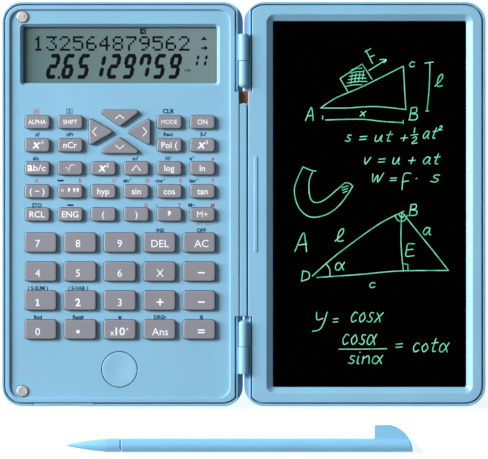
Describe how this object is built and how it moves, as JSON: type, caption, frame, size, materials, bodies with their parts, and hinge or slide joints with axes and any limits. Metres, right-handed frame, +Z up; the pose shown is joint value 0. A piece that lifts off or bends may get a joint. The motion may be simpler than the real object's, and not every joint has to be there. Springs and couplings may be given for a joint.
{
  "type": "folding scientific calculator",
  "caption": "Folding scientific calculator with a two-line display and keypad in one half, a writing tablet in the other, and a loose stylus.",
  "frame": {"origin": "middle of the object's box in plan, at the resting plane, with the stylus lying in front", "axes": "+X from the calculator half to the tablet half, +Y to the display end along the hinges, +Z up"},
  "size_m": [0.1984, 0.1852, 0.0103],
  "materials": {
    "shell": "satin moulded plastic",
    "stylus": "satin moulded plastic",
    "key": "satin",
    "lens": "clear polished acrylic",
    "display": "satin",
    "membrane": "matte",
    "board": "satin",
    "contact": "bright",
    "cell": "brushed",
    "magnet": "nickel plate",
    "keeper": "plain",
    "screw": "bright zinc",
    "pin": "drawn wire",
    "foot": "matte",
    "ribbon": "satin polyimide film",
    "writing_film": "glossy film",
    "backing": "matte"
  },
  "bodies": {
    "calculator": {"calculator_back_cover": "shell", "calculator_face": "shell", "display_lens": "lens", "display_panel": "display", "key_membrane": "membrane", "circuit_board": "board", "battery_contacts": "contact", "closing_magnets": "magnet", "calculator_screws": "screw", "calculator_feet": "foot", "hinge_pins": "pin", "flex_ribbon": "ribbon", "spine_cover": "shell"},
    "tablet": {"tablet_back_cover": "shell", "tablet_frame": "shell", "writing_panel": "writing_film", "backing_board": "backing", "keeper_plates": "keeper", "tablet_screws": "screw", "tablet_feet": "foot"},
    "battery_drawer": {"battery_drawer": "shell", "coin_cell": "cell"},
    "stylus": {"stylus_barrel": "stylus", "stylus_tip": "stylus"},
    "erase_button": {"erase_button": "shell"},
    "key_7": {"key_7": "key"},
    "key_8": {"key_8": "key"},
    "key_9": {"key_9": "key"},
    "key_delete": {"key_delete": "key"},
    "key_clear": {"key_clear": "key"},
    "key_4": {"key_4": "key"},
    "key_5": {"key_5": "key"},
    "key_6": {"key_6": "key"},
    "key_multiply": {"key_multiply": "key"},
    "key_divide": {"key_divide": "key"},
    "key_1": {"key_1": "key"},
    "key_2": {"key_2": "key"},
    "key_3": {"key_3": "key"},
    "key_add": {"key_add": "key"},
    "key_subtract": {"key_subtract": "key"},
    "key_0": {"key_0": "key"},
    "key_point": {"key_point": "key"},
    "key_exponent": {"key_exponent": "key"},
    "key_answer": {"key_answer": "key"},
    "key_equals": {"key_equals": "key"},
    "key_alpha": {"key_alpha": "key"},
    "key_shift": {"key_shift": "key"},
    "key_mode": {"key_mode": "key"},
    "key_on": {"key_on": "key"},
    "key_reciprocal": {"key_reciprocal": "key"},
    "key_combinations": {"key_combinations": "key"},
    "key_polar": {"key_polar": "key"},
    "key_cube": {"key_cube": "key"},
    "function_keys_upper": {"function_keys_upper": "key"},
    "function_keys_middle": {"function_keys_middle": "key"},
    "function_keys_lower": {"function_keys_lower": "key"},
    "key_up": {"key_up": "key"},
    "key_down": {"key_down": "key"},
    "key_left": {"key_left": "key"},
    "key_right": {"key_right": "key"}
  },
  "joints": [
    {"name": "fold", "type": "hinge", "parent": "calculator", "child": "tablet", "pos_m": [0, 0.00958, 0.00825], "axis": [0, -1, 0], "range_deg": [0, 180], "deforming": ["flex_ribbon"]},
    {"name": "drawer_slide", "type": "slide", "parent": "calculator", "child": "battery_drawer", "axis": [0, -1, 0], "range_m": [0, 0.012]},
    {"name": "stylus_lift", "type": "slide", "parent": "calculator", "child": "stylus", "axis": [0, 0, 1], "range_m": [0, 0.06]},
    {"name": "erase_button_press", "type": "slide", "parent": "calculator", "child": "erase_button", "axis": [0, 0, 1], "range_m": [-0.0008, 0], "stiffness_N_per_m": 700, "springref_m": 0.0005, "deforming": ["key_membrane"]},
    {"name": "key_7_press", "type": "slide", "parent": "calculator", "child": "key_7", "axis": [0, 0, 1], "range_m": [-0.001, 0], "stiffness_N_per_m": 700, "springref_m": 0.0005, "deforming": ["key_membrane"]},
    {"name": "key_8_press", "type": "slide", "parent": "calculator", "child": "key_8", "axis": [0, 0, 1], "range_m": [-0.001, 0], "stiffness_N_per_m": 700, "springref_m": 0.0005, "deforming": ["key_membrane"]},
    {"name": "key_9_press", "type": "slide", "parent": "calculator", "child": "key_9", "axis": [0, 0, 1], "range_m": [-0.001, 0], "stiffness_N_per_m": 700, "springref_m": 0.0005, "deforming": ["key_membrane"]},
    {"name": "key_delete_press", "type": "slide", "parent": "calculator", "child": "key_delete", "axis": [0, 0, 1], "range_m": [-0.001, 0], "stiffness_N_per_m": 700, "springref_m": 0.0005, "deforming": ["key_membrane"]},
    {"name": "key_clear_press", "type": "slide", "parent": "calculator", "child": "key_clear", "axis": [0, 0, 1], "range_m": [-0.001, 0], "stiffness_N_per_m": 700, "springref_m": 0.0005, "deforming": ["key_membrane"]},
    {"name": "key_4_press", "type": "slide", "parent": "calculator", "child": "key_4", "axis": [0, 0, 1], "range_m": [-0.001, 0], "stiffness_N_per_m": 700, "springref_m": 0.0005, "deforming": ["key_membrane"]},
    {"name": "key_5_press", "type": "slide", "parent": "calculator", "child": "key_5", "axis": [0, 0, 1], "range_m": [-0.001, 0], "stiffness_N_per_m": 700, "springref_m": 0.0005, "deforming": ["key_membrane"]},
    {"name": "key_6_press", "type": "slide", "parent": "calculator", "child": "key_6", "axis": [0, 0, 1], "range_m": [-0.001, 0], "stiffness_N_per_m": 700, "springref_m": 0.0005, "deforming": ["key_membrane"]},
    {"name": "key_multiply_press", "type": "slide", "parent": "calculator", "child": "key_multiply", "axis": [0, 0, 1], "range_m": [-0.001, 0], "stiffness_N_per_m": 700, "springref_m": 0.0005, "deforming": ["key_membrane"]},
    {"name": "key_divide_press", "type": "slide", "parent": "calculator", "child": "key_divide", "axis": [0, 0, 1], "range_m": [-0.001, 0], "stiffness_N_per_m": 700, "springref_m": 0.0005, "deforming": ["key_membrane"]},
    {"name": "key_1_press", "type": "slide", "parent": "calculator", "child": "key_1", "axis": [0, 0, 1], "range_m": [-0.001, 0], "stiffness_N_per_m": 700, "springref_m": 0.0005, "deforming": ["key_membrane"]},
    {"name": "key_2_press", "type": "slide", "parent": "calculator", "child": "key_2", "axis": [0, 0, 1], "range_m": [-0.001, 0], "stiffness_N_per_m": 700, "springref_m": 0.0005, "deforming": ["key_membrane"]},
    {"name": "key_3_press", "type": "slide", "parent": "calculator", "child": "key_3", "axis": [0, 0, 1], "range_m": [-0.001, 0], "stiffness_N_per_m": 700, "springref_m": 0.0005, "deforming": ["key_membrane"]},
    {"name": "key_add_press", "type": "slide", "parent": "calculator", "child": "key_add", "axis": [0, 0, 1], "range_m": [-0.001, 0], "stiffness_N_per_m": 700, "springref_m": 0.0005, "deforming": ["key_membrane"]},
    {"name": "key_subtract_press", "type": "slide", "parent": "calculator", "child": "key_subtract", "axis": [0, 0, 1], "range_m": [-0.001, 0], "stiffness_N_per_m": 700, "springref_m": 0.0005, "deforming": ["key_membrane"]},
    {"name": "key_0_press", "type": "slide", "parent": "calculator", "child": "key_0", "axis": [0, 0, 1], "range_m": [-0.001, 0], "stiffness_N_per_m": 700, "springref_m": 0.0005, "deforming": ["key_membrane"]},
    {"name": "key_point_press", "type": "slide", "parent": "calculator", "child": "key_point", "axis": [0, 0, 1], "range_m": [-0.001, 0], "stiffness_N_per_m": 700, "springref_m": 0.0005, "deforming": ["key_membrane"]},
    {"name": "key_exponent_press", "type": "slide", "parent": "calculator", "child": "key_exponent", "axis": [0, 0, 1], "range_m": [-0.001, 0], "stiffness_N_per_m": 700, "springref_m": 0.0005, "deforming": ["key_membrane"]},
    {"name": "key_answer_press", "type": "slide", "parent": "calculator", "child": "key_answer", "axis": [0, 0, 1], "range_m": [-0.001, 0], "stiffness_N_per_m": 700, "springref_m": 0.0005, "deforming": ["key_membrane"]},
    {"name": "key_equals_press", "type": "slide", "parent": "calculator", "child": "key_equals", "axis": [0, 0, 1], "range_m": [-0.001, 0], "stiffness_N_per_m": 700, "springref_m": 0.0005, "deforming": ["key_membrane"]},
    {"name": "key_alpha_press", "type": "slide", "parent": "calculator", "child": "key_alpha", "axis": [0, 0, 1], "range_m": [-0.001, 0], "stiffness_N_per_m": 700, "springref_m": 0.0005, "deforming": ["key_membrane"]},
    {"name": "key_shift_press", "type": "slide", "parent": "calculator", "child": "key_shift", "axis": [0, 0, 1], "range_m": [-0.001, 0], "stiffness_N_per_m": 700, "springref_m": 0.0005, "deforming": ["key_membrane"]},
    {"name": "key_mode_press", "type": "slide", "parent": "calculator", "child": "key_mode", "axis": [0, 0, 1], "range_m": [-0.001, 0], "stiffness_N_per_m": 700, "springref_m": 0.0005, "deforming": ["key_membrane"]},
    {"name": "key_on_press", "type": "slide", "parent": "calculator", "child": "key_on", "axis": [0, 0, 1], "range_m": [-0.001, 0], "stiffness_N_per_m": 700, "springref_m": 0.0005, "deforming": ["key_membrane"]},
    {"name": "key_reciprocal_press", "type": "slide", "parent": "calculator", "child": "key_reciprocal", "axis": [0, 0, 1], "range_m": [-0.001, 0], "stiffness_N_per_m": 700, "springref_m": 0.0005, "deforming": ["key_membrane"]},
    {"name": "key_combinations_press", "type": "slide", "parent": "calculator", "child": "key_combinations", "axis": [0, 0, 1], "range_m": [-0.001, 0], "stiffness_N_per_m": 700, "springref_m": 0.0005, "deforming": ["key_membrane"]},
    {"name": "key_polar_press", "type": "slide", "parent": "calculator", "child": "key_polar", "axis": [0, 0, 1], "range_m": [-0.001, 0], "stiffness_N_per_m": 700, "springref_m": 0.0005, "deforming": ["key_membrane"]},
    {"name": "key_cube_press", "type": "slide", "parent": "calculator", "child": "key_cube", "axis": [0, 0, 1], "range_m": [-0.001, 0], "stiffness_N_per_m": 700, "springref_m": 0.0005, "deforming": ["key_membrane"]},
    {"name": "function_keys_upper_press", "type": "slide", "parent": "calculator", "child": "function_keys_upper", "axis": [0, 0, 1], "range_m": [-0.001, 0], "stiffness_N_per_m": 1200, "springref_m": 0.0005, "deforming": ["key_membrane"]},
    {"name": "function_keys_middle_press", "type": "slide", "parent": "calculator", "child": "function_keys_middle", "axis": [0, 0, 1], "range_m": [-0.001, 0], "stiffness_N_per_m": 1200, "springref_m": 0.0005, "deforming": ["key_membrane"]},
    {"name": "function_keys_lower_press", "type": "slide", "parent": "calculator", "child": "function_keys_lower", "axis": [0, 0, 1], "range_m": [-0.001, 0], "stiffness_N_per_m": 1200, "springref_m": 0.0005, "deforming": ["key_membrane"]},
    {"name": "key_up_press", "type": "slide", "parent": "calculator", "child": "key_up", "axis": [0, 0, 1], "range_m": [-0.001, 0], "stiffness_N_per_m": 700, "springref_m": 0.0005, "deforming": ["key_membrane"]},
    {"name": "key_down_press", "type": "slide", "parent": "calculator", "child": "key_down", "axis": [0, 0, 1], "range_m": [-0.001, 0], "stiffness_N_per_m": 700, "springref_m": 0.0005, "deforming": ["key_membrane"]},
    {"name": "key_left_press", "type": "slide", "parent": "calculator", "child": "key_left", "axis": [0, 0, 1], "range_m": [-0.001, 0], "stiffness_N_per_m": 700, "springref_m": 0.0005, "deforming": ["key_membrane"]},
    {"name": "key_right_press", "type": "slide", "parent": "calculator", "child": "key_right", "axis": [0, 0, 1], "range_m": [-0.001, 0], "stiffness_N_per_m": 700, "springref_m": 0.0005, "deforming": ["key_membrane"]}
  ]
}
